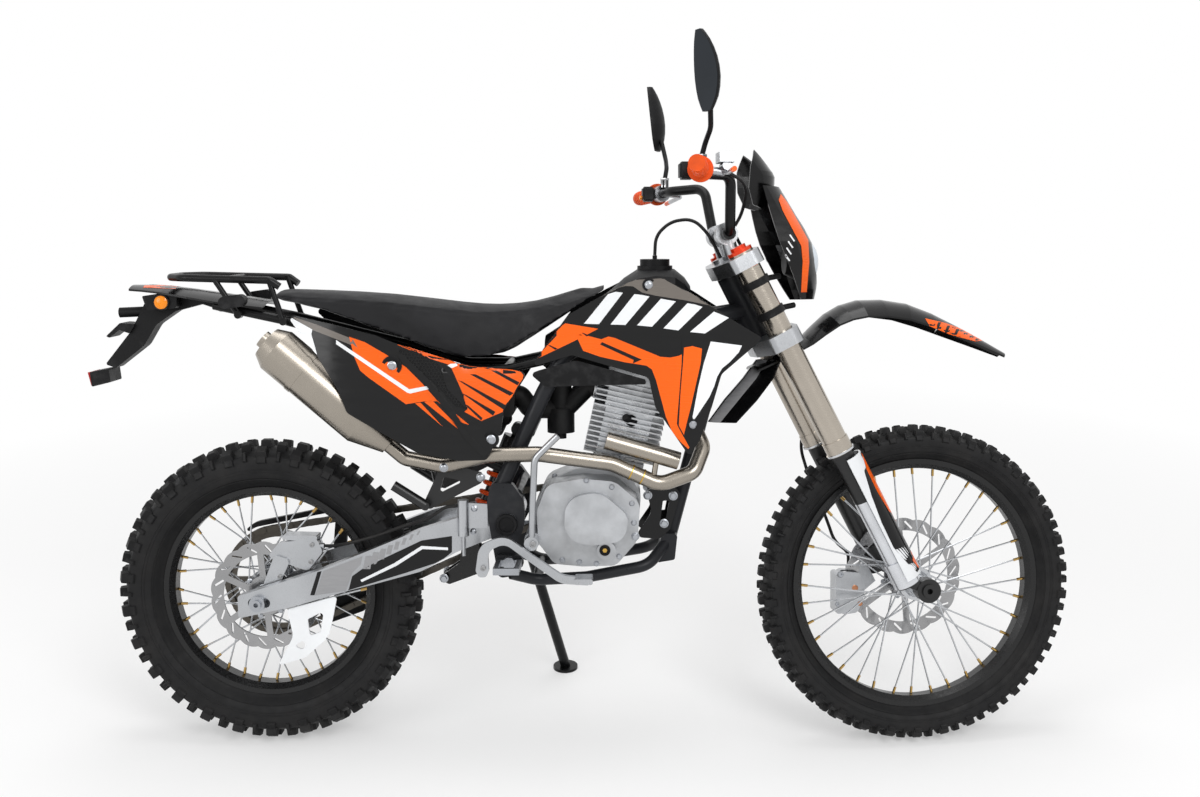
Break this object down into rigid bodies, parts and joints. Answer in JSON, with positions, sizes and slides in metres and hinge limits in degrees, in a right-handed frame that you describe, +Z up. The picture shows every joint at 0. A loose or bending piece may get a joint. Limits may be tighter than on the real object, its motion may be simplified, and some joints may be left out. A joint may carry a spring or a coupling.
{
  "type": "enduro motorcycle",
  "caption": "Tall single-cylinder off-road motorcycle leaning on its side stand, with knobbly spoked wheels, long seat, high side silencer, upright bars and mirrors.",
  "frame": {"origin": "on the floor under the middle of the whole motorcycle's bounding box", "axes": "+Z up, +X towards the front wheel, +Y to the rider's left"},
  "size_m": [2.152, 0.8174, 1.5436],
  "materials": {
    "frame": "satin",
    "engine": "cast matt",
    "alloy": "satin",
    "steel": "brushed",
    "black_metal": "gloss",
    "black_plastic": "matt",
    "panel": "gloss",
    "white_panel": "gloss",
    "vinyl": "grained",
    "tyre": "matt",
    "soft_rubber": "matt",
    "lens": "clear",
    "chain_steel": "oiled"
  },
  "bodies": {
    "chassis": {"main_frame": "frame", "engine_plates": "black_metal", "subframe": "frame", "swingarm": "alloy", "cross_bolts": "steel", "rear_suspension": "steel", "crankcase": "engine", "cylinder": "engine", "intake": "black_plastic", "exhaust_header": "steel", "silencer": "steel", "seat": "vinyl", "fuel_tank": "black_plastic", "fuel_cap": "black_plastic", "tank_shrouds": "panel", "lower_covers": "black_plastic", "side_panels": "white_panel", "rear_fender": "black_plastic", "tail_rack": "black_metal", "tail_lamps": "black_plastic", "inner_fender": "black_plastic", "chain": "chain_steel", "chain_guard": "black_plastic", "disc_guard": "white_panel", "rear_brake": "alloy", "foot_controls": "alloy", "footpegs": "steel", "hoses": "soft_rubber"},
    "steering": {"triple_clamps": "alloy", "fork_tubes": "alloy", "fork_lowers": "alloy", "fork_guards": "white_panel", "front_fender": "black_plastic", "headlight_mask": "black_plastic", "headlight": "lens", "handlebar": "black_metal", "grips": "soft_rubber", "controls": "black_metal", "mirrors": "black_plastic", "front_brake": "alloy", "front_hose": "soft_rubber"},
    "front_wheel": {"front_tyre": "tyre", "front_rim": "black_metal", "front_hub": "alloy", "front_disc": "steel"},
    "rear_wheel": {"rear_tyre": "tyre", "rear_rim": "black_metal", "rear_hub": "alloy", "rear_disc": "steel", "rear_sprocket": "steel"},
    "side_stand": {"side_stand": "black_metal"}
  },
  "joints": [
    {"name": "steering", "type": "hinge", "parent": "chassis", "child": "steering", "pos_m": [0.36228, -0.04524, 0.93683], "axis": [-0.4528, 0.1394, 0.8806], "range_deg": [-48.05, 31.95]},
    {"name": "front_wheel", "type": "hinge", "parent": "steering", "child": "front_wheel", "pos_m": [0.7287, -0.13113, 0.34396], "axis": [-0.1251, 0.968, -0.2175], "continuous": true},
    {"name": "rear_wheel", "type": "hinge", "parent": "chassis", "child": "rear_wheel", "pos_m": [-0.70082, -0.14071, 0.33545], "axis": [-0.0002, 0.9877, -0.1564], "continuous": true},
    {"name": "side_stand", "type": "hinge", "parent": "chassis", "child": "side_stand", "pos_m": [-0.13479, 0.01589, 0.36458], "axis": [0.1764, 0.9301, 0.3222], "range_deg": [0, 106]}
  ]
}
